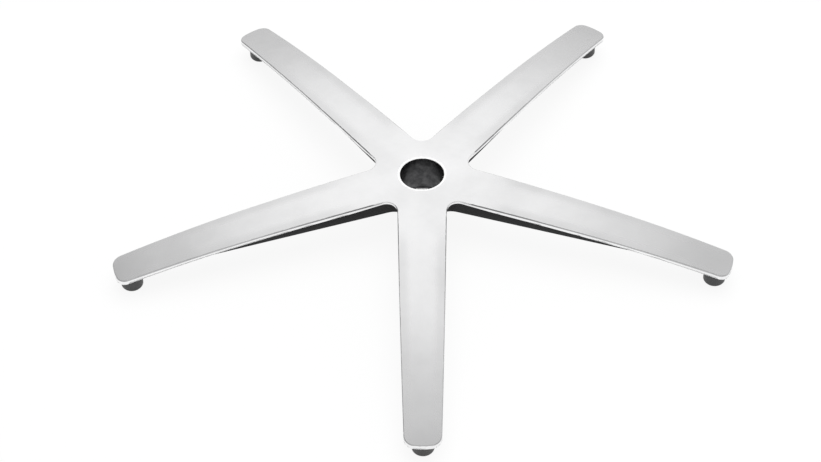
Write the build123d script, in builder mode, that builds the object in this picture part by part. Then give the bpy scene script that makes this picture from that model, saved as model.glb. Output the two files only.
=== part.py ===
from build123d import *
from math import radians, tan
import os

os.makedirs("parts", exist_ok=True)

# Five-star chair base: one polished aluminium casting standing on five screwed-in glides.
# The origin is the centre of the column socket's mouth, on the flat top of the hub.
# +Z runs up along the column, and -Y along the front arm. All lengths are in millimetres.

# Overall size. Heights are above the floor.
arm_count = 5
front_angle = -90
tip_radius = 360
hub_height = 66.7
crown_mid_radius = 200
crown_mid_height = 52.8
tip_height = 28.2
crown_start_slope = 3.3

# Plan of an arm
arm_width_root = 56.8
arm_width_tip = 39.8
arm_bulge = 0.75
tip_bow = 3
tip_corner_radius = 12
crotch_radius = 13.5

# Skin and rim of the casting
skin_thickness = 3.5
rim_depth_hub = 4.6
rim_depth_tip = 6
rim_width = 3
edge_rounding = 1.5
upright_limit = 0.1

# Ribs under the arms. A pair of parallel long ribs makes the beam under each arm.
beam_width = 22
beam_height = 29.1
beam_crotch_radius = 21
rib_thickness = 3.2
cross_rib_thickness = 2.6
cross_rib_lift = 6
cross_rib_wing_angle = 60
cross_rib_first_radius = 92
cross_rib_tip_gap = 92
cross_rib_count = 5

# Hub and column socket
socket_mouth_radius = 25
socket_half_angle = 1.4377
socket_chamfer = 0.6
throat_radius = 23.5
throat_length = 6
key_width = 13.6
key_projection = 1.3
land_width = 2
barrel_depth = 50
barrel_wall = 6.2
barrel_draft = 0.6
barrel_chamfer = 1
web_thickness = 3
web_height_at_barrel = 23

# Glides and their studs
glide_inset = 18.3
glide_radius = 12.2
glide_height = 17
glide_flat_radius = 7.6
glide_dome_height = 3.8
glide_dome_swell = 0.6
glide_top_chamfer = 0.6
boss_radius = 9.6
gusset_run = 34
gusset_start_height = 45
stud_radius = 4
stud_engagement = 9.5
stud_flange_radius = 7
stud_flange_thickness = 3
stud_flange_height = 5
stud_tip_chamfer = 1
thread_clearance = 0.1
tap_runout = 0.5

# Worked out from the above
arm_angle = 360 / arm_count
floor = -hub_height
reach = tip_radius + tip_corner_radius
chamfer_radius = socket_mouth_radius + socket_chamfer
land_radius = chamfer_radius + land_width
barrel_radius = socket_mouth_radius + barrel_wall
glide_circle_radius = tip_radius - glide_inset
boss_height = glide_height
rib_spacing = beam_width - rib_thickness
cross_rib_height = beam_height + cross_rib_lift
cross_rib_last_radius = tip_radius - cross_rib_tip_gap
cross_rib_pitch = (cross_rib_last_radius - cross_rib_first_radius) / (cross_rib_count - 1)
cross_rib_radii = [cross_rib_first_radius + n * cross_rib_pitch for n in range(cross_rib_count)]
web_start_radius = barrel_radius - barrel_wall / 2
web_length = cross_rib_first_radius - web_start_radius
arm_names = ["front", "front_right", "rear_right", "rear_left", "front_left"]


def level(height):
    """Z of a height above the floor."""
    return floor + height


def crown_arcs(hub_drop, mid_drop, tip_drop):
    """Adds the arm's long top curve, lowered by the three drops, and gives its two ends."""
    start = Vector(land_radius, level(hub_height - hub_drop))
    middle = Vector(crown_mid_radius, level(crown_mid_height - mid_drop))
    end = Vector(tip_radius, level(tip_height - tip_drop))
    inner = TangentArc(start, middle, tangent=Vector(1, 0).rotate(Axis.Z, -crown_start_slope))
    outer = TangentArc(middle, end, tangent=inner % 1)
    run_out = Line(end, end + (outer % 1) * tip_corner_radius)
    return start, run_out @ 1


def layer(top_drops, bottom_drops):
    """A round body between two copies of the crown curve, each lowered by its three drops."""
    with BuildPart() as body:
        with BuildSketch(Plane.XZ):
            with BuildLine():
                top_start, top_end = crown_arcs(*top_drops)
                low_start, low_end = crown_arcs(*bottom_drops)
                Line((0, top_start.Y), top_start)
                Line((0, low_start.Y), low_start)
                Line((0, top_start.Y), (0, low_start.Y))
                Line(top_end, low_end)
            make_face()
        revolve(axis=Axis.Z)
    return body.part


def above(lower_line):
    """A round body from a line of (radius, height) points up to the level of the hub's top."""
    with BuildPart() as body:
        with BuildSketch(Plane.XZ):
            with BuildLine():
                points = [(radius, level(height)) for radius, height in lower_line]
                Polyline(*points, (points[-1][0], 0), (0, 0), points[0])
            make_face()
        revolve(axis=Axis.Z)
    return body.part


def star_plan(inset=0):
    """The plan of the five arms with rounded crotches and tips, drawn in by an inset."""
    shoulder = tip_radius - tip_bow - inset
    root = arm_width_root / 2 - inset
    tip = arm_width_tip / 2 - inset
    with BuildSketch() as arm:
        with BuildLine():
            right = SagittaArc((0, -root), (shoulder, -tip), -arm_bulge)
            ThreePointArc(right @ 1, (shoulder + tip_bow, 0), (shoulder, tip))
            left = SagittaArc((shoulder, tip), (0, root), -arm_bulge)
            Line(left @ 1, right @ 0)
        make_face()
        fillet(arm.vertices().sort_by(Axis.X)[-2:], radius=tip_corner_radius - inset)
    with BuildSketch() as star:
        with PolarLocations(0, arm_count, start_angle=front_angle):
            add(arm.sketch)
        crotches = star.vertices().sort_by_distance((0, 0))[:arm_count]
        fillet(crotches, radius=crotch_radius + inset)
    return star.sketch


def beam_plan(inset):
    """The plan of the beams under the arms, meeting round the hub, drawn in by an inset."""
    with BuildSketch() as beams:
        with PolarLocations(0, arm_count, start_angle=front_angle):
            Rectangle(
                glide_circle_radius, beam_width - 2 * inset, align=(Align.MIN, Align.CENTER)
            )
        crotches = beams.vertices().sort_by_distance((0, 0))[:arm_count]
        fillet(crotches, radius=beam_crotch_radius + inset)
    return beams.sketch


rim_drops = (rim_depth_hub, rim_depth_hub, rim_depth_tip)
skin_drops = (skin_thickness, skin_thickness, skin_thickness)
web_line = [(0, web_height_at_barrel), (barrel_radius, web_height_at_barrel),
            (cross_rib_first_radius, cross_rib_height), (reach, cross_rib_height)]
gusset_line = [(0, gusset_start_height), (glide_circle_radius - gusset_run, gusset_start_height),
               (glide_circle_radius - boss_radius, boss_height), (reach, boss_height)]

# The polished skin: the star cut from the crowned layer, with its upper edge rounded over
with BuildPart() as skin:
    with BuildSketch(Plane.XY.offset(floor)):
        add(star_plan())
    extrude(amount=hub_height)
    add(layer((0, 0, 0), rim_drops), mode=Mode.INTERSECT)
    crown_faces = skin.faces().filter_by(lambda face: face.normal_at().Z > 1 - upright_limit)
    wall_faces = skin.faces().filter_by(lambda face: abs(face.normal_at().Z) < upright_limit)
    fillet(crown_faces.edges() & wall_faces.edges(), radius=edge_rounding)

# The shallow pocket that leaves a deeper rim round the skin
with BuildPart() as pocket:
    with BuildSketch(Plane.XY.offset(floor)):
        add(star_plan(rim_width))
    extrude(amount=hub_height)
    add(layer(skin_drops, [drop + skin_thickness for drop in rim_drops]), mode=Mode.INTERSECT)

# The pair of long ribs under each arm, turning from one arm into the next round the hub
with BuildPart() as long_ribs:
    with BuildSketch(Plane.XY.offset(level(beam_height))):
        add(beam_plan(0))
        add(beam_plan(rib_thickness), mode=Mode.SUBTRACT)
    extrude(amount=hub_height - beam_height)

# The cross ribs of one arm, each widening upwards into a wing on both sides of the beam
with BuildPart() as cross_ribs:
    rise = hub_height - cross_rib_height
    half_foot = rib_spacing / 2
    half_top = half_foot + rise / tan(radians(cross_rib_wing_angle))
    for radius in cross_rib_radii:
        with BuildSketch(Plane.YZ.offset(radius - cross_rib_thickness / 2)):
            with BuildLine():
                Polyline(
                    (-half_foot, -rise),
                    (half_foot, -rise),
                    (half_top, 0),
                    (-half_top, 0),
                    close=True,
                )
            make_face()
        extrude(amount=cross_rib_thickness)

# The webs that tie the hub's barrel to the first cross ribs
with BuildPart() as webs:
    with BuildSketch(Plane.XY.offset(floor)):
        with PolarLocations(web_start_radius, arm_count, start_angle=front_angle):
            Rectangle(web_length, web_thickness, align=(Align.MIN, Align.CENTER))
    extrude(amount=hub_height)
    add(above(web_line), mode=Mode.INTERSECT)

# The barrel round the column socket, drafted towards its lower end
with BuildPart() as barrel:
    with BuildSketch(Plane.XZ):
        with BuildLine():
            Polyline(
                (0, 0),
                (barrel_radius, 0),
                (barrel_radius - barrel_draft, -barrel_depth + barrel_chamfer),
                (barrel_radius - barrel_draft - barrel_chamfer, -barrel_depth),
                (0, -barrel_depth),
                close=True,
            )
        make_face()
    revolve(axis=Axis.Z)

# The bosses under the tips, each with a gusset running back towards the hub
with BuildPart() as bosses:
    with BuildSketch(Plane.XY.offset(level(boss_height))):
        with PolarLocations(glide_circle_radius, arm_count, start_angle=front_angle):
            Rectangle(gusset_run, web_thickness, align=(Align.MAX, Align.CENTER))
    extrude(amount=hub_height - boss_height)
    add(above(gusset_line), mode=Mode.INTERSECT)
    with BuildSketch(Plane.XY.offset(level(boss_height))):
        with PolarLocations(glide_circle_radius, arm_count, start_angle=front_angle):
            Circle(boss_radius)
    extrude(amount=hub_height - boss_height)
    with BuildSketch(Plane.XY.offset(level(boss_height))):
        with PolarLocations(glide_circle_radius, arm_count, start_angle=front_angle):
            Circle(stud_radius + thread_clearance)
    extrude(amount=stud_engagement + tap_runout, mode=Mode.SUBTRACT)

# The room below the middle of the skin
with BuildPart() as room_under_skin:
    with BuildSketch(Plane.XZ):
        with BuildLine():
            start, end = crown_arcs(*[drop / 2 for drop in skin_drops])
            Polyline(start, (0, start.Y), (0, floor), (end.X, floor), end)
        make_face()
    revolve(axis=Axis.Z)

# Everything under the skin, trimmed so that it ends half way into the skin
with BuildPart() as underside:
    add(long_ribs.part)
    with PolarLocations(0, arm_count, start_angle=front_angle):
        add(cross_ribs.part)
    add(webs.part)
    add(barrel.part)
    add(bosses.part)
    add(room_under_skin.part, mode=Mode.INTERSECT)

# The tapered socket, open at both ends, with the flat key left standing at its front
with BuildPart() as socket:
    taper_length = barrel_depth - throat_length - socket_chamfer
    taper_end_radius = socket_mouth_radius - taper_length * tan(radians(socket_half_angle))
    with BuildSketch(Plane.XZ):
        with BuildLine():
            Polyline(
                (0, socket_chamfer),
                (chamfer_radius + socket_chamfer, socket_chamfer),
                (socket_mouth_radius, -socket_chamfer),
                (taper_end_radius, -barrel_depth + throat_length),
                (throat_radius, -barrel_depth + throat_length),
                (throat_radius, -barrel_depth - barrel_chamfer),
                (0, -barrel_depth - barrel_chamfer),
                close=True,
            )
        make_face()
    revolve(axis=Axis.Z)
    with BuildSketch(Plane.XY.offset(-barrel_depth - barrel_chamfer)):
        with Locations((0, key_projection - socket_mouth_radius)):
            Rectangle(key_width, barrel_wall, align=(Align.CENTER, Align.MAX))
    extrude(amount=barrel_depth + barrel_chamfer, mode=Mode.SUBTRACT)

with BuildPart() as base_casting:
    add(skin.part)
    add(pocket.part, mode=Mode.SUBTRACT)
    add(underside.part)
    add(socket.part, mode=Mode.SUBTRACT)
base_casting.part.label = "base_casting"
export_step(base_casting.part, "parts/base_casting.step")


def glide_section(angle):
    """The upright plane through a glide's axis, with its origin on the floor."""
    outward = Vector(1, 0).rotate(Axis.Z, angle)
    spot = outward * glide_circle_radius + Vector(0, 0, floor)
    return Plane(origin=spot, x_dir=outward, z_dir=outward.cross(Vector(0, 0, 1)))


for number, name in enumerate(arm_names[:arm_count]):
    section = glide_section(front_angle + number * arm_angle)
    axis = Axis(section.origin, (0, 0, 1))
    dome_middle = Vector(glide_flat_radius + glide_radius, glide_dome_height) / 2
    dome_middle += Vector(glide_dome_swell, -glide_dome_swell)

    # A nylon foot, flat where it stands, moulded round the stud and its flange
    with BuildPart() as glide:
        with BuildSketch(section):
            with BuildLine():
                stand = Line((0, 0), (glide_flat_radius, 0))
                dome = ThreePointArc(
                    stand @ 1,
                    (dome_middle.X, dome_middle.Y),
                    (glide_radius, glide_dome_height),
                )
                Polyline(
                    dome @ 1,
                    (glide_radius, glide_height - glide_top_chamfer),
                    (glide_radius - glide_top_chamfer, glide_height),
                    (stud_radius, glide_height),
                    (stud_radius, stud_flange_height + stud_flange_thickness),
                    (stud_flange_radius, stud_flange_height + stud_flange_thickness),
                    (stud_flange_radius, stud_flange_height),
                    (0, stud_flange_height),
                    (0, 0),
                )
            make_face()
        revolve(axis=axis)
    glide.part.label = f"glide_{name}"
    export_step(glide.part, f"parts/glide_{name}.step")

    # A steel stud, its flange held in the nylon and its shank screwed into the boss
    with BuildPart() as stud:
        with BuildSketch(section):
            with BuildLine():
                stud_top = boss_height + stud_engagement
                Polyline(
                    (0, stud_flange_height),
                    (stud_flange_radius, stud_flange_height),
                    (stud_flange_radius, stud_flange_height + stud_flange_thickness),
                    (stud_radius, stud_flange_height + stud_flange_thickness),
                    (stud_radius, stud_top - stud_tip_chamfer),
                    (stud_radius - stud_tip_chamfer, stud_top),
                    (0, stud_top),
                    close=True,
                )
            make_face()
        revolve(axis=axis)
    stud.part.label = f"stud_{name}"
    export_step(stud.part, f"parts/stud_{name}.step")
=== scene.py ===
"""Looks of the five-star chair base: a polished casting on five black glide feet."""

import math

import bmesh
import bpy
from mathutils import Matrix, Vector


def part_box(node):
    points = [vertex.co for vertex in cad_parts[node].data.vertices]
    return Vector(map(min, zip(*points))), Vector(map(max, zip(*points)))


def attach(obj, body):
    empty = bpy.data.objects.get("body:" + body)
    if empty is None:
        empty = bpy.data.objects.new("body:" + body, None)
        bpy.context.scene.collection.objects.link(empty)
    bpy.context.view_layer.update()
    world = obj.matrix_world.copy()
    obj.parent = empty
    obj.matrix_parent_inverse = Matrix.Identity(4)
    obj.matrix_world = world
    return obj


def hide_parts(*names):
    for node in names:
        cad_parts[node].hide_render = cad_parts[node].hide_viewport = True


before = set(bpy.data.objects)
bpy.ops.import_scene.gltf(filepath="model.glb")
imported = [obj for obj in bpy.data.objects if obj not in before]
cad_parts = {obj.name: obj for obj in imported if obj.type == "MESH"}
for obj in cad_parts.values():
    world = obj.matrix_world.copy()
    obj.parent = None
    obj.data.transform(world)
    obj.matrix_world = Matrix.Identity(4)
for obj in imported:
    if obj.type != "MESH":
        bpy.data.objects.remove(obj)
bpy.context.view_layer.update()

# The casting's own sizes, in metres and degrees
arm_count = 5
front_arm = -90
hub_height = 0.0667
tip_radius = 0.360
land_radius = 0.0276
crown_mid = Vector((0.200, -0.0139))
crown_tip = Vector((0.360, -0.0385))
crown_start_slope = math.radians(3.3)
half_width_root, half_width_tip = 0.0284, 0.0199
tip_bow, tip_corner = 0.003, 0.012
socket_radius, socket_lip = 0.0252, 0.0006

# The glide feet and their studs
arm_names = ["front", "front_right", "rear_right", "rear_left", "front_left"]
glide_circle = 0.3417
stud_radius, stud_chamfer = 0.004, 0.001
flange_radius, flange_thickness = 0.007, 0.003
thread_pitch, thread_depth = 0.00125, 0.0007
rows_a_turn, stud_sides = 6, 36
shank_grip = 0.0002

# How the casting's faces are told apart: lengths first, then the least or most that a face's
# normal may point up, and the least that it must point sideways
rim_depth = 0.0075
crown_grip = 0.00025
outward_step, outline_slack = 0.005, 0.0006
level_least, rounding_least, overhang_most, underside_most = 0.9, 0.1, -0.1, -0.5
sideways_least = 0.05
merge_distance = 1e-6

# Where the crown is cut across the arms, to follow its curve
station_first, station_last, station_pitch = 0.040, 0.350, 0.010

# The soft roll that buffing leaves along the arms' edges: how steep it gets, the shares of the
# half width between which it builds up, and the distances over which it starts and fades
roll_angle = math.radians(3.2)
roll_start, roll_full = 0.40, 0.85
roll_cuts = (-0.9, -0.75, -0.55, -0.35, 0.35, 0.55, 0.75, 0.9)
roll_root, roll_root_full, roll_fade = 0.070, 0.115, 0.340
roll_lost, roll_overlap = 0.6, 1.1
flank_dullness = 0.08
crown_agreement = 0.85

# Between these distances from the column's axis a finish goes from its hub tone to its tip tone.
# On the rim's rounding this is a painted dark reflection that grows paler outwards.
edge_shade_from, edge_shade_to = 0.10, 0.21

# The polished band under the crown's edge: where along the arms it starts, and where it is full.
# In the crotches only a lip of it is bright.
band_start, band_full, band_depth = 0.056, 0.118, 0.0052
lip_depth, lip_end = 0.0032, 0.066

# The studio: how bright the world is at growing distances from four directions in it. The first
# is where a level polished face mirrors the world to the camera.
floor_half, floor_whiteness = 6.0, 0.9
farthest = 2.0
mirror_middle, mirror_squeeze = (-0.013, 0.693, 0.720), 1.24
mirror_levels = [(0, 1.01), (0.14, 1.03), (0.20, 1.02), (0.24, 0.96), (0.275, 0.89),
                 (0.31, 0.81), (0.35, 0.73), (0.39, 0.67), (0.5, 0.53), (0.65, 0.46),
                 (0.85, 0.48), (1.1, 0.55), (2.0, 0.55)]
front_middle, front_squeeze = (0, -0.65, 0.76), 1.5
front_levels = [(0, 0.35), (0.40, 0.30), (0.60, 0.10), (0.80, 0), (2.0, 0)]
right_middle, left_middle = (0.85, 0.25, 0.38), (-0.85, 0.25, 0.38)
right_levels = [(0, 0.3), (0.4, 0.25), (0.7, 0), (2.0, 0)]
left_levels = [(0, 0.25), (0.4, 0.2), (0.7, 0), (2.0, 0)]

camera_place = (0.01844, -1.77878, 1.7547)
camera_forward = Vector((-0.01282013, 0.6934616, -0.72037952)).normalized()
camera_across = Vector((0.99987794, 0.00245661, -0.01542937)).normalized()
camera_sensor, camera_lens = 36, 96.927


# The crown as the drawing has it: two arcs turned about the column's axis

def arc_from(start, slope, end):
    """Centre, radius and end slope of the falling arc that leaves start at a slope."""
    chord = end - start
    chord_slope = math.atan2(-chord.y, chord.x)
    radius = chord.length / (2 * math.sin(chord_slope - slope))
    centre = start + radius * Vector((-math.sin(slope), -math.cos(slope)))
    return centre, radius, 2 * chord_slope - slope


inner_centre, inner_radius, slope_at_mid = arc_from(
    Vector((land_radius, 0)), crown_start_slope, crown_mid)
outer_centre, outer_radius, slope_at_tip = arc_from(crown_mid, slope_at_mid, crown_tip)


def crown_at(reach):
    """Height and downward slope of the crown at a distance from the column's axis."""
    if reach <= land_radius:
        return 0.0, 0.0
    if reach <= crown_mid.x:
        centre, radius = inner_centre, inner_radius
    elif reach <= crown_tip.x:
        centre, radius = outer_centre, outer_radius
    else:
        return crown_tip.y - math.tan(slope_at_tip) * (reach - crown_tip.x), slope_at_tip
    along = reach - centre.x
    return centre.y + math.sqrt(radius ** 2 - along ** 2), math.asin(along / radius)


def crown_height(point):
    return crown_at(math.hypot(point.x, point.y))[0]


def crown_normal(point):
    reach = math.hypot(point.x, point.y)
    slope = crown_at(reach)[1]
    if reach < merge_distance:
        return Vector((0, 0, 1))
    return Vector((math.sin(slope) * point.x / reach, math.sin(slope) * point.y / reach,
                   math.cos(slope)))


def arm_direction(number):
    angle = math.radians(front_arm + number * 360 / arm_count)
    return Vector((math.cos(angle), math.sin(angle), 0))


def left_of(outward):
    return Vector((-outward.y, outward.x, 0))


def flattened(vector):
    return Vector((vector.x, vector.y, 0))


def in_sector(point, number):
    """True for a point that lies nearer to this arm than to its neighbours."""
    return point.normalized().dot(arm_direction(number)) > math.cos(math.pi / arm_count)


def half_width_at(along):
    share = max(0.0, min(1.0, along / tip_radius))
    return half_width_root + (half_width_tip - half_width_root) * share


def on_arm(point, number):
    """How far a point of the plan lies along an arm, and across it to the left."""
    outward = arm_direction(number)
    return point.dot(outward), outward.x * point.y - outward.y * point.x


def over_an_arm(point):
    """True where a point of the plan lies on one of the arms."""
    for number in range(arm_count):
        along, across = on_arm(point, number)
        half_width = half_width_at(along) + outline_slack
        if not 0 <= along <= tip_radius + tip_bow or abs(across) > half_width:
            continue
        past = Vector((along - tip_radius + tip_corner, abs(across) - half_width + tip_corner))
        if past.x <= 0 or past.y <= 0 or past.length <= tip_corner:
            return True
    return False


def smooth_step(value, low, high):
    share = max(0.0, min(1.0, (value - low) / (high - low)))
    return share * share * (3 - 2 * share)


def flank_at(point):
    """How far a point of the crown is on an arm's flank, 0 to 1, and the way out of it."""
    for number in range(arm_count):
        along, across = on_arm(point, number)
        if along < roll_root or abs(across) > half_width_at(along) * roll_overlap:
            continue
        share = smooth_step(abs(across) / half_width_at(along), roll_start, roll_full)
        share *= smooth_step(along, roll_root, roll_root_full)
        share *= 1 - roll_lost * smooth_step(along, 0.5 * roll_fade, roll_fade)
        return share, math.copysign(1, across) * left_of(arm_direction(number))
    return 0.0, Vector((0, 0, 0))


def rolled_normal(point):
    """The crown's normal, leaning out a little towards the arms' long edges."""
    share, out = flank_at(point)
    return (crown_normal(point) + math.tan(roll_angle * share) * out).normalized()


# Node helpers. A value may be a number, a colour or the socket that it comes from.

def new_material(name):
    material = bpy.data.materials.new(name)
    material.use_nodes = True
    nodes = material.node_tree.nodes
    place = nodes.new("ShaderNodeTexCoord").outputs["Object"]
    return material, nodes, material.node_tree.links, nodes["Principled BSDF"], place


def new_group(name, inputs, outputs):
    """A shader group with named float inputs (name, default) and float outputs."""
    group = bpy.data.node_groups.new(name, "ShaderNodeTree")
    group.interface.new_socket("Place", in_out="INPUT", socket_type="NodeSocketVector")
    for socket, default in inputs:
        made = group.interface.new_socket(socket, in_out="INPUT", socket_type="NodeSocketFloat")
        made.default_value = default
    for socket in outputs:
        group.interface.new_socket(socket, in_out="OUTPUT", socket_type="NodeSocketFloat")
    entry = group.nodes.new("NodeGroupInput")
    leave = group.nodes.new("NodeGroupOutput")
    return group, entry.outputs, leave.inputs


def use_group(nodes, links, group, place, **values):
    node = nodes.new("ShaderNodeGroup")
    node.node_tree = group
    links.new(place, node.inputs["Place"])
    for socket, value in values.items():
        node.inputs[socket.replace("_", " ").title()].default_value = value
    return node.outputs


def feed(links, socket, value):
    if isinstance(value, bpy.types.NodeSocket):
        links.new(value, socket)
    elif value is not None:
        socket.default_value = value


def math_node(nodes, links, operation, first, second=None, third=None):
    node = nodes.new("ShaderNodeMath")
    node.operation = operation
    for socket, value in zip(node.inputs, (first, second, third)):
        feed(links, socket, value)
    return node.outputs[0]


def vector_node(nodes, links, operation, first, second=None):
    node = nodes.new("ShaderNodeVectorMath")
    node.operation = operation
    for socket, value in zip(node.inputs, (first, second)):
        feed(links, socket, value)
    return node.outputs["Value" if operation == "LENGTH" else "Vector"]


def split(nodes, links, vector):
    parts = nodes.new("ShaderNodeSeparateXYZ")
    links.new(vector, parts.inputs[0])
    return parts.outputs


def joined(nodes, links, x, y, z=None):
    vector = nodes.new("ShaderNodeCombineXYZ")
    for socket, value in zip(vector.inputs, (x, y, z)):
        feed(links, socket, value)
    return vector.outputs[0]


def spread(nodes, links, value, from_low, from_high, low=0.0, high=1.0, kind="LINEAR"):
    """A value's range, spread between two others and held there."""
    node = nodes.new("ShaderNodeMapRange")
    node.interpolation_type = kind
    for name, number in (("Value", value), ("From Min", from_low), ("From Max", from_high),
                         ("To Min", low), ("To Max", high)):
        feed(links, node.inputs[name], number)
    return node.outputs["Result"]


def mixed(nodes, links, share, first, second, blend="MIX"):
    node = nodes.new("ShaderNodeMix")
    node.data_type = "RGBA"
    node.blend_type = blend
    links.new(share, node.inputs["Factor"])
    feed(links, node.inputs["A"], first)
    feed(links, node.inputs["B"], second)
    return node.outputs["Result"]


def bump(nodes, links, shader, height, distance):
    node = nodes.new("ShaderNodeBump")
    node.inputs["Distance"].default_value = distance
    node.inputs["Strength"].default_value = 1.0
    links.new(height, node.inputs["Height"])
    links.new(node.outputs["Normal"], shader.inputs["Normal"])


def noise(nodes, links, place, scale, detail, rough=0.5):
    node = nodes.new("ShaderNodeTexNoise")
    node.inputs["Detail"].default_value = detail
    node.inputs["Roughness"].default_value = rough
    feed(links, node.inputs["Scale"], scale)
    links.new(place, node.inputs["Vector"])
    return node.outputs["Fac"]


# Effects that several finishes share: the part of the noise that handling spreads out, and the
# part of the edges' sharpness that counts as rubbed
cloud_low, cloud_high = 0.35, 0.7
rub_low, rub_high = 0.52, 0.60


def make_grain():
    """Fine surface grain: a height, and a value that spreads between Low and High."""
    group, entry, leave = new_group(
        "fine_grain", [("Scale", 900.0), ("Low", 0.3), ("High", 0.4)], ["Height", "Value"])
    nodes, links = group.nodes, group.links
    fine = noise(nodes, links, entry["Place"], entry["Scale"], detail=3.0)
    span = math_node(nodes, links, "SUBTRACT", entry["High"], entry["Low"])
    value = math_node(nodes, links, "MULTIPLY_ADD", fine, span, entry["Low"])
    links.new(fine, leave["Height"])
    links.new(value, leave["Value"])
    return group


def make_handling():
    """Broad soft patches left by handling and cleaning, between Low and High."""
    group, entry, leave = new_group(
        "handling", [("Scale", 14.0), ("Low", 0.0), ("High", 1.0)], ["Value"])
    nodes, links = group.nodes, group.links
    broad = noise(nodes, links, entry["Place"], entry["Scale"], detail=4.0, rough=0.6)
    links.new(spread(nodes, links, broad, cloud_low, cloud_high, entry["Low"], entry["High"],
                     "SMOOTHSTEP"), leave["Value"])
    return group


def make_edge_rub():
    """How much an outer edge has been rubbed, from 0 to Strength."""
    group, entry, leave = new_group("edge_rub", [("Strength", 0.5)], ["Mask"])
    nodes, links = group.nodes, group.links
    shape = nodes.new("ShaderNodeNewGeometry")
    sharp = spread(nodes, links, shape.outputs["Pointiness"], rub_low, rub_high)
    patches = noise(nodes, links, entry["Place"], scale=160.0, detail=3.0)
    mask = math_node(nodes, links, "MULTIPLY", sharp, patches)
    links.new(math_node(nodes, links, "MULTIPLY", mask, entry["Strength"]), leave["Mask"])
    return group


grain, handling, edge_rub = make_grain(), make_handling(), make_edge_rub()


# Finishes

def polished_aluminium(name, hub_tone, tip_tone):
    """Buffed aluminium: soft clouds, and fine polishing lines that run out along the arms."""
    material, nodes, links, shader, place = new_material(name)
    shader.inputs["Metallic"].default_value = 1.0
    reach = vector_node(nodes, links, "LENGTH", place)
    # From hub_tone near the hub to tip_tone out along the arms; on the rim's rounding these tones
    # are a painted dark reflection
    outwards = spread(nodes, links, reach, edge_shade_from, edge_shade_to)
    base = mixed(nodes, links, outwards, hub_tone, tip_tone)
    clouds = use_group(nodes, links, handling, place, scale=13.0, low=0.0, high=1.0)
    links.new(mixed(nodes, links, clouds["Value"], base, (0.93, 0.93, 0.93, 1), "MULTIPLY"),
              shader.inputs["Base Color"])
    parts = split(nodes, links, place)
    turn = math_node(nodes, links, "ARCTAN2", parts["Y"], parts["X"])
    stretched = math_node(nodes, links, "MULTIPLY", reach, 0.35)
    lines = use_group(nodes, links, grain, joined(nodes, links, turn, stretched),
                      scale=260.0, low=0.20, high=0.27)
    haze = use_group(nodes, links, handling, place, scale=16.0, low=0.0, high=0.025)
    flank = nodes.new("ShaderNodeAttribute")
    flank.attribute_name = "flank"
    duller = math_node(nodes, links, "MULTIPLY_ADD", flank.outputs["Fac"], flank_dullness,
                       haze["Value"])
    links.new(math_node(nodes, links, "ADD", lines["Value"], duller), shader.inputs["Roughness"])
    waves = use_group(nodes, links, grain, place, scale=22.0)
    relief = math_node(nodes, links, "MULTIPLY_ADD", lines["Height"], 0.05, waves["Height"])
    bump(nodes, links, shader, relief, distance=0.00008)
    return material


def dark_underside():
    """A near-black, slightly sandy skin, not metallic, where the casting isn't polished."""
    material, nodes, links, shader, place = new_material("cast_underside_finish")
    shader.inputs["Metallic"].default_value = 0.0
    shader.inputs["Specular IOR Level"].default_value = 0.25
    sand = use_group(nodes, links, grain, place, scale=700.0, low=0.55, high=0.75)
    rubbed = use_group(nodes, links, edge_rub, place, strength=0.25)
    links.new(mixed(nodes, links, rubbed["Mask"], (0.018, 0.018, 0.019, 1),
                    (0.16, 0.16, 0.165, 1)), shader.inputs["Base Color"])
    links.new(sand["Value"], shader.inputs["Roughness"])
    bump(nodes, links, shader, sand["Height"], distance=0.00006)
    return material


def turned_socket():
    """The socket's turned taper: blotches, and fine rings round the column's axis."""
    material, nodes, links, shader, place = new_material("turned_socket_finish")
    shader.inputs["Metallic"].default_value = 1.0
    blotches = use_group(nodes, links, handling, place, scale=120.0, low=0.0, high=1.0)
    links.new(mixed(nodes, links, blotches["Value"], (0.05, 0.05, 0.052, 1),
                    (0.12, 0.12, 0.123, 1)), shader.inputs["Base Color"])
    rings = nodes.new("ShaderNodeTexWave")
    rings.wave_type = "BANDS"
    rings.bands_direction = "Z"
    rings.inputs["Scale"].default_value = 900.0
    rings.inputs["Distortion"].default_value = 0.6
    links.new(place, rings.inputs["Vector"])
    worn = use_group(nodes, links, handling, place, scale=60.0, low=0.30, high=0.42)
    links.new(worn["Value"], shader.inputs["Roughness"])
    bump(nodes, links, shader, rings.outputs["Fac"], distance=0.00001)
    return material


def painted_highlight_ring():
    """The narrow ring round the socket's mouth, machined flat with a tool and matt. Its white
    colour, not metallic, is a painted highlight that stands in for the bright shine of the metal.
    """
    material, nodes, links, shader, place = new_material("faced_ring_finish")
    shader.inputs["Base Color"].default_value = (0.93, 0.93, 0.93, 1)
    shader.inputs["Metallic"].default_value = 0.0
    turned = use_group(nodes, links, grain, place, scale=1800.0, low=0.45, high=0.6)
    links.new(turned["Value"], shader.inputs["Roughness"])
    bump(nodes, links, shader, turned["Height"], distance=0.00001)
    return material


def black_nylon():
    """Moulded nylon: fine texture, satin, paler where the foot has been dragged."""
    material, nodes, links, shader, place = new_material("black_nylon_finish")
    fine = use_group(nodes, links, grain, place, scale=1500.0, low=0.40, high=0.52)
    rubbed = use_group(nodes, links, edge_rub, place, strength=0.5)
    links.new(mixed(nodes, links, rubbed["Mask"], (0.045, 0.045, 0.046, 1),
                    (0.11, 0.11, 0.11, 1)), shader.inputs["Base Color"])
    links.new(fine["Value"], shader.inputs["Roughness"])
    bump(nodes, links, shader, fine["Height"], distance=0.00002)
    return material


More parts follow.
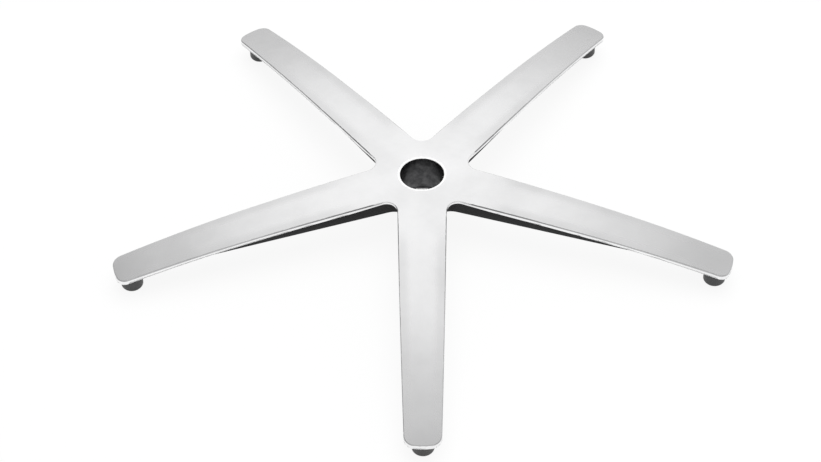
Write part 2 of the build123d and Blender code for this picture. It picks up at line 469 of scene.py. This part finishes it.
def zinc_steel():
    """Zinc plating on the studs, with its faint mottling."""
    material, nodes, links, shader, place = new_material("zinc_steel_finish")
    shader.inputs["Metallic"].default_value = 1.0
    mottled = use_group(nodes, links, handling, place, scale=300.0, low=0.0, high=1.0)
    links.new(mixed(nodes, links, mottled["Value"], (0.62, 0.63, 0.66, 1),
                    (0.48, 0.49, 0.52, 1)), shader.inputs["Base Color"])
    fine = use_group(nodes, links, grain, place, scale=2200.0, low=0.28, high=0.42)
    links.new(fine["Value"], shader.inputs["Roughness"])
    return material


polished = polished_aluminium(
    "polished_aluminium_finish", (0.95, 0.95, 0.955, 1), (0.95, 0.95, 0.955, 1))
# The rim's rounding: aluminium whose colour is a painted dark reflection, darker at the hub
edge = polished_aluminium(
    "polished_edge_finish", (0.30, 0.30, 0.303, 1), (0.60, 0.60, 0.605, 1))
underside, socket = dark_underside(), turned_socket()
mouth_ring_highlight, nylon, zinc = painted_highlight_ring(), black_nylon(), zinc_steel()


# The casting: a merged copy of the CAD's mesh, its faces told apart by the finish they get

POLISHED, DARK_REFLECTION_EDGE, DARK_UNDERSIDE, SOCKET, HIGHLIGHT_RING = range(5)


def merged_copy(node, name):
    mesh = node.data.copy()
    mesh.materials.clear()
    shape = bmesh.new()
    shape.from_mesh(mesh)
    bmesh.ops.remove_doubles(shape, verts=shape.verts, dist=merge_distance)
    shape.normal_update()
    shape.to_mesh(mesh)
    shape.free()
    piece = bpy.data.objects.new(name, mesh)
    bpy.context.collection.objects.link(piece)
    return piece


def on_crown(face):
    """True for a face of the crown itself, every corner of it on the drawn surface."""
    return face.normal.z >= level_least and all(
        abs(v.co.z - crown_height(v.co)) < crown_grip for v in face.verts)


def on_outer_rim(face):
    """True for the outer wall of the rim and the rounding above it."""
    middle = face.calc_center_median()
    flat = flattened(face.normal)
    if face.normal.z < overhang_most or flat.length < sideways_least:
        return False
    flat.normalize()
    if flat.dot(flattened(middle)) < 0:
        return False
    return (middle.z > crown_height(middle) - rim_depth
            and not over_an_arm(middle + outward_step * flat))


def in_socket(face):
    middle = face.calc_center_median()
    return (math.hypot(middle.x, middle.y) < socket_radius and middle.z < -socket_lip
            and face.normal.z > underside_most)


def round_the_mouth(face):
    middle = face.calc_center_median()
    return math.hypot(middle.x, middle.y) < land_radius and middle.z > -socket_lip


def finish_of(face):
    # The ring round the mouth gets a white painted highlight as its colour
    if round_the_mouth(face):
        return HIGHLIGHT_RING
    if on_crown(face):
        return POLISHED
    if on_outer_rim(face):
        # The rounding above the rim's wall takes the painted dark reflection; the wall itself
        # stays polished
        return DARK_REFLECTION_EDGE if face.normal.z > rounding_least else POLISHED
    return SOCKET if in_socket(face) else DARK_UNDERSIDE


def cut(shape, faces, spot, normal):
    """Divides faces along the plane through a spot, at right angles to a normal."""
    edges = dict.fromkeys(e for f in faces for e in f.edges)
    corners = dict.fromkeys(v for f in faces for v in f.verts)
    bmesh.ops.bisect_plane(shape, geom=[*faces, *edges, *corners], plane_co=spot,
                           plane_no=normal, dist=merge_distance)


def cut_band(shape, crown_flag, number):
    """Gives the rim's wall the near-black underside finish below a slanting line, so that the
    polished band grows from a lip in the crotches to its full depth out along the arm."""
    outward = arm_direction(number)
    first, last = outward * band_start, outward * band_full
    first.z = crown_at(math.hypot(band_start, half_width_root))[0] - lip_depth
    last.z = crown_at(math.hypot(band_full, half_width_root))[0] - band_depth
    below = left_of(outward).cross(last - first).normalized()

    def on_the_wall(face):
        return (face.material_index in (DARK_REFLECTION_EDGE, POLISHED) and not face[crown_flag]
                and in_sector(flattened(face.calc_center_median()), number))

    cut(shape, [f for f in shape.faces if on_the_wall(f)
                and min(on_arm(v.co, number)[0] for v in f.verts) < band_full], first, below)
    for face in filter(on_the_wall, shape.faces):
        middle = face.calc_center_median()
        along = on_arm(middle, number)[0]
        if along <= band_full and (middle - first).dot(below) > 0:
            face.material_index = DARK_UNDERSIDE
        elif along < lip_end:
            face.material_index = POLISHED


def cut_crown(shape, crown_flag, number):
    """Cuts the crown across and along an arm, so that its curve and its roll are followed."""
    outward = arm_direction(number)
    reach = station_first
    while reach <= station_last:
        near = [f for f in shape.faces
                if f[crown_flag] and in_sector(f.calc_center_median(), number)]
        cut(shape, near, outward * reach, outward)
        reach += station_pitch
    for share in roll_cuts:
        near = []
        for face in shape.faces:
            along, across = on_arm(face.calc_center_median(), number)
            if face[crown_flag] and along > roll_root and abs(across) < half_width_root:
                near.append(face)
        taper = share * (half_width_root - half_width_tip) / tip_radius
        cut(shape, near, left_of(outward) * share * half_width_root,
            (left_of(outward) + taper * outward).normalized())


def dress_casting():
    casting = merged_copy(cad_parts["base_casting"], "polished_casting")
    shape = bmesh.new()
    shape.from_mesh(casting.data)
    crown_flag = shape.faces.layers.int.new("crown")
    for face in shape.faces:
        face[crown_flag] = int(on_crown(face))
        face.material_index = finish_of(face)
        face.smooth = True
    for number in range(arm_count):
        cut_band(shape, crown_flag, number)
    for number in range(arm_count):
        cut_crown(shape, crown_flag, number)
    for vertex in shape.verts:
        if vertex.link_faces and all(f[crown_flag] for f in vertex.link_faces):
            vertex.co.z = crown_height(vertex.co)
    shape.to_mesh(casting.data)
    shape.free()
    for finish in (polished, edge, underside, socket, mouth_ring_highlight):
        casting.data.materials.append(finish)
    return casting


def smooth_by_area(piece, angle):
    """Smooth shading up to an angle, with the large faces ruling the corners."""
    for polygon in piece.data.polygons:
        polygon.use_smooth = True
    bpy.context.view_layer.objects.active = piece
    piece.select_set(True)
    piece.data.set_sharp_from_angle(angle=math.radians(angle))
    weighted = piece.modifiers.new("weighted", "WEIGHTED_NORMAL")
    weighted.keep_sharp = True
    weighted.weight = 80
    bpy.ops.object.modifier_apply(modifier=weighted.name)
    piece.select_set(False)


def roll_crown(mesh):
    """Gives the crown its drawn normals with the buffed roll, and marks the arms' flanks."""
    normals = [Vector(n.vector) for n in mesh.corner_normals]
    crown_faces = mesh.attributes["crown"].data
    on_the_crown = set()
    for polygon in mesh.polygons:
        if crown_faces[polygon.index].value:
            on_the_crown.update(polygon.vertices)
    for loop in mesh.loops:
        if loop.vertex_index in on_the_crown:
            true_normal = rolled_normal(mesh.vertices[loop.vertex_index].co)
            if normals[loop.index].dot(true_normal) > crown_agreement:
                normals[loop.index] = true_normal
    mesh.normals_split_custom_set(normals)
    mesh.attributes.remove(mesh.attributes["crown"])
    flank = mesh.attributes.new("flank", "FLOAT", "POINT")
    for number in on_the_crown:
        flank.data[number].value = flank_at(mesh.vertices[number].co)[0]


casting = dress_casting()
smooth_by_area(casting, angle=38)
roll_crown(casting.data)
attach(casting, "root")
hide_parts("base_casting")


# Glide feet and studs: made once, repeated round the base by Geometry Nodes

def new_tree(name, inputs):
    """A Geometry Nodes tree with named inputs (name, kind, value)."""
    tree = bpy.data.node_groups.new(name, "GeometryNodeTree")
    tree.interface.new_socket("Geometry", in_out="INPUT", socket_type="NodeSocketGeometry")
    for socket, kind, value in inputs:
        made = tree.interface.new_socket(socket, in_out="INPUT", socket_type="NodeSocket" + kind)
        if value is not None:
            made.default_value = value
    tree.interface.new_socket("Geometry", in_out="OUTPUT", socket_type="NodeSocketGeometry")
    entry = tree.nodes.new("NodeGroupInput")
    leave = tree.nodes.new("NodeGroupOutput")
    return tree, entry.outputs, leave.inputs


def turn_about_column(nodes, links, angle):
    turn = nodes.new("ShaderNodeCombineXYZ")
    links.new(angle, turn.inputs["Z"])
    rotation = nodes.new("FunctionNodeEulerToRotation")
    links.new(turn.outputs[0], rotation.inputs[0])
    return rotation.outputs[0]


ring_inputs = [("Count", "Int", arm_count), ("Circle Radius", "Float", glide_circle),
               ("First Angle", "Float", math.radians(front_arm)), ("Finish", "Material", None)]


def make_round_the_base():
    """Repeats a piece, drawn pointing along x, at even angles round the column's axis."""
    tree, entry, leave = new_tree("round_the_base", ring_inputs)
    nodes, links = tree.nodes, tree.links
    circle = nodes.new("GeometryNodeMeshCircle")
    links.new(entry["Count"], circle.inputs["Vertices"])
    links.new(entry["Circle Radius"], circle.inputs["Radius"])
    number = nodes.new("GeometryNodeInputIndex").outputs[0]
    step = math_node(nodes, links, "DIVIDE", 2 * math.pi, entry["Count"])
    place = nodes.new("GeometryNodeInstanceOnPoints")
    links.new(circle.outputs["Mesh"], place.inputs["Points"])
    links.new(entry["Geometry"], place.inputs["Instance"])
    links.new(turn_about_column(nodes, links, math_node(nodes, links, "MULTIPLY", number, step)),
              place.inputs["Rotation"])
    turned = nodes.new("GeometryNodeTransform")
    links.new(place.outputs["Instances"], turned.inputs["Geometry"])
    links.new(turn_about_column(nodes, links, entry["First Angle"]), turned.inputs["Rotation"])
    real = nodes.new("GeometryNodeRealizeInstances")
    links.new(turned.outputs[0], real.inputs[0])
    dressed = nodes.new("GeometryNodeSetMaterial")
    links.new(real.outputs[0], dressed.inputs["Geometry"])
    links.new(entry["Finish"], dressed.inputs["Material"])
    links.new(dressed.outputs[0], leave["Geometry"])
    return tree


def make_threaded_studs(round_the_base):
    """Cuts a right-hand thread into a plain stud, then repeats it round the base."""
    tree, entry, leave = new_tree("threaded_studs", [
        ("Thread Radius", "Float", stud_radius), ("Depth", "Float", thread_depth),
        ("Pitch", "Float", thread_pitch), ("Thread Start", "Float", 0.0),
        ("Thread End", "Float", 0.0)] + ring_inputs)
    nodes, links = tree.nodes, tree.links

    def worked(operation, first, second=None, third=None):
        return math_node(nodes, links, operation, first, second, third)

    x, y, z = split(nodes, links, nodes.new("GeometryNodeInputPosition").outputs[0])
    turns = worked("DIVIDE", worked("ARCTAN2", y, x), 2 * math.pi)
    phase = worked("FRACT", worked("SUBTRACT", worked("DIVIDE", z, entry["Pitch"]), turns))
    groove = worked("MULTIPLY_ADD", worked("ABSOLUTE", worked("SUBTRACT", phase, 0.5)), -2.0, 1.0)
    reach = worked("SQRT", worked("MULTIPLY_ADD", x, x, worked("MULTIPLY", y, y)))
    on_shank = worked("COMPARE", reach, entry["Thread Radius"], shank_grip)
    above = worked("GREATER_THAN", z, entry["Thread Start"])
    below = worked("LESS_THAN", z, entry["Thread End"])
    threaded = worked("MULTIPLY", on_shank, worked("MULTIPLY", above, below))
    cut_share = worked("MULTIPLY", worked("MULTIPLY", groove, threaded),
                       worked("DIVIDE", entry["Depth"], entry["Thread Radius"]))
    keep = worked("SUBTRACT", 1.0, cut_share)
    carved = nodes.new("GeometryNodeSetPosition")
    links.new(entry["Geometry"], carved.inputs["Geometry"])
    links.new(joined(nodes, links, worked("MULTIPLY", x, keep), worked("MULTIPLY", y, keep), z),
              carved.inputs["Position"])
    ring = nodes.new("GeometryNodeGroup")
    ring.node_tree = round_the_base
    links.new(carved.outputs[0], ring.inputs["Geometry"])
    for name, _, _ in ring_inputs:
        links.new(entry[name], ring.inputs[name])
    links.new(ring.outputs["Geometry"], leave["Geometry"])
    return tree


def made_by(tree, piece, **values):
    """Runs a tree on a piece and leaves its result there as a plain mesh."""
    maker = piece.modifiers.new("maker", "NODES")
    maker.node_group = tree
    for item in tree.interface.items_tree:
        key = item.name.replace(" ", "_").lower()
        if item.item_type == "SOCKET" and item.in_out == "INPUT" and key in values:
            maker[item.identifier] = values[key]
    ready = piece.evaluated_get(bpy.context.evaluated_depsgraph_get())
    mesh = bpy.data.meshes.new_from_object(ready)
    piece.modifiers.remove(maker)
    piece.data = mesh


def plain_stud(name, low, high):
    """The stud before its thread is cut: flange, shank and chamfered end, turned from a line."""
    shank_low, shank_high = low + flange_thickness, high - stud_chamfer
    outline = [(0, low), (flange_radius, low), (flange_radius, shank_low),
               (stud_radius, shank_low)]
    rows = math.ceil((shank_high - shank_low) / (thread_pitch / rows_a_turn))
    for row in range(1, rows + 1):
        outline.append((stud_radius, shank_low + row / rows * (shank_high - shank_low)))
    outline += [(stud_radius - stud_chamfer, high), (0, high)]
    shape = bmesh.new()
    line = [shape.verts.new((radius, 0, height)) for radius, height in outline]
    edges = [shape.edges.new(pair) for pair in zip(line, line[1:])]
    bmesh.ops.spin(shape, geom=line + edges, cent=(0, 0, 0), axis=(0, 0, 1),
                   angle=2 * math.pi, steps=stud_sides, use_duplicate=False)
    bmesh.ops.remove_doubles(shape, verts=shape.verts, dist=merge_distance)
    bmesh.ops.recalc_face_normals(shape, faces=shape.faces)
    mesh = bpy.data.meshes.new(name)
    shape.to_mesh(mesh)
    shape.free()
    piece = bpy.data.objects.new(name, mesh)
    bpy.context.collection.objects.link(piece)
    return piece


round_the_base = make_round_the_base()
ring_values = {"count": arm_count, "circle_radius": glide_circle,
               "first_angle": math.radians(front_arm)}

glides = merged_copy(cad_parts["glide_front"], "glide_feet")
glides.data.transform(Matrix.Rotation(math.radians(-front_arm), 4, "Z")
                      @ Matrix.Translation((0, glide_circle, 0)))
made_by(round_the_base, glides, finish=nylon, **ring_values)
smooth_by_area(glides, angle=35)
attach(glides, "root")
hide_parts(*["glide_" + name for name in arm_names])

stud_low, stud_high = (corner[2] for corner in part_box("stud_front"))
studs = plain_stud("threaded_studs", stud_low, stud_high)
made_by(make_threaded_studs(round_the_base), studs, thread_radius=stud_radius,
        depth=thread_depth, pitch=thread_pitch,
        thread_start=stud_low + flange_thickness + thread_pitch,
        thread_end=stud_high - stud_chamfer, finish=zinc, **ring_values)
smooth_by_area(studs, angle=50)
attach(studs, "root")
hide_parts(*["stud_" + name for name in arm_names])


# The studio: a paper floor that the camera sees as white and that keeps the shadow, a dim world
# with its brighter and darker patches, and one lamp overhead

def lay_floor():
    mesh = bpy.data.meshes.new("studio_floor")
    corners = [(-1, -1), (1, -1), (1, 1), (-1, 1)]
    mesh.from_pydata([(x * floor_half, y * floor_half, -hub_height) for x, y in corners],
                     [], [(0, 1, 2, 3)])
    floor = bpy.data.objects.new("studio_floor", mesh)
    bpy.context.collection.objects.link(floor)
    paper, nodes, links, shader, place = new_material("studio_paper")
    shader.inputs["Base Color"].default_value = (0.95, 0.95, 0.95, 1)
    shader.inputs["Roughness"].default_value = 1.0
    shader.inputs["Specular IOR Level"].default_value = 0.0
    path = nodes.new("ShaderNodeLightPath")
    seen = math_node(nodes, links, "MAXIMUM", path.outputs["Is Camera Ray"],
                     path.outputs["Is Glossy Ray"])
    seen = math_node(nodes, links, "MAXIMUM", seen, path.outputs["Is Transmission Ray"])
    white = nodes.new("ShaderNodeEmission")
    white.inputs["Strength"].default_value = 1.0
    blend = nodes.new("ShaderNodeMixShader")
    links.new(math_node(nodes, links, "MULTIPLY", seen, floor_whiteness), blend.inputs[0])
    links.new(shader.outputs[0], blend.inputs[1])
    links.new(white.outputs[0], blend.inputs[2])
    links.new(blend.outputs[0], nodes["Material Output"].inputs["Surface"])
    mesh.materials.append(paper)


def patch(nodes, links, direction, middle, squeeze, levels):
    """Light round one direction of the world, set by the distance from it. A squeeze above 1
    makes it narrower from left to right."""
    away = vector_node(nodes, links, "SUBTRACT", direction, middle)
    away = vector_node(nodes, links, "MULTIPLY", away, (squeeze, 1, 1))
    away = vector_node(nodes, links, "LENGTH", away)
    glow = nodes.new("ShaderNodeValToRGB")
    links.new(math_node(nodes, links, "DIVIDE", away, farthest), glow.inputs["Fac"])
    while len(glow.color_ramp.elements) < len(levels):
        glow.color_ramp.elements.new(0.5)
    for element, (distance, level) in zip(glow.color_ramp.elements, levels):
        element.position = distance / farthest
        element.color = (level, level, level, 1)
    return glow.outputs["Color"]


def light_world():
    world = bpy.data.worlds.new("studio")
    bpy.context.scene.world = world
    world.use_nodes = True
    nodes, links = world.node_tree.nodes, world.node_tree.links
    direction = nodes.new("ShaderNodeTexCoord").outputs["Generated"]
    light = patch(nodes, links, direction, mirror_middle, mirror_squeeze, mirror_levels)
    for operation, middle, squeeze, levels in (
            ("ADD", front_middle, front_squeeze, front_levels),
            ("ADD", right_middle, 1, right_levels),
            ("SUBTRACT", left_middle, 1, left_levels)):
        light = vector_node(nodes, links, operation, light,
                            patch(nodes, links, direction, middle, squeeze, levels))
    links.new(light, nodes["Background"].inputs["Color"])


def hang_softbox(name, place, aim, size, power):
    light = bpy.data.lights.new(name, "AREA")
    light.shape = "DISK"
    light.size = size
    light.energy = power
    lamp = bpy.data.objects.new(name, light)
    turn = (Vector(aim) - Vector(place)).to_track_quat("-Z", "Y").to_matrix().to_4x4()
    lamp.matrix_world = Matrix.Translation(place) @ turn
    lamp.visible_glossy = False
    lamp.visible_camera = False
    bpy.context.collection.objects.link(lamp)


def place_camera():
    data = bpy.data.cameras.new("camera")
    data.sensor_width = camera_sensor
    data.lens = camera_lens
    camera = bpy.data.objects.new("camera", data)
    upward = camera_across.cross(camera_forward)
    rows = zip(camera_across, upward, -camera_forward, camera_place)
    camera.matrix_world = Matrix((*rows, (0, 0, 0, 1)))
    bpy.context.collection.objects.link(camera)
    bpy.context.scene.camera = camera


lay_floor()
light_world()
hang_softbox("overhead_softbox", place=(0.2, 0.3, 2.6), aim=(0, 0, 0), size=3.0, power=50)
place_camera()
bpy.context.scene.view_settings.view_transform = "Standard"
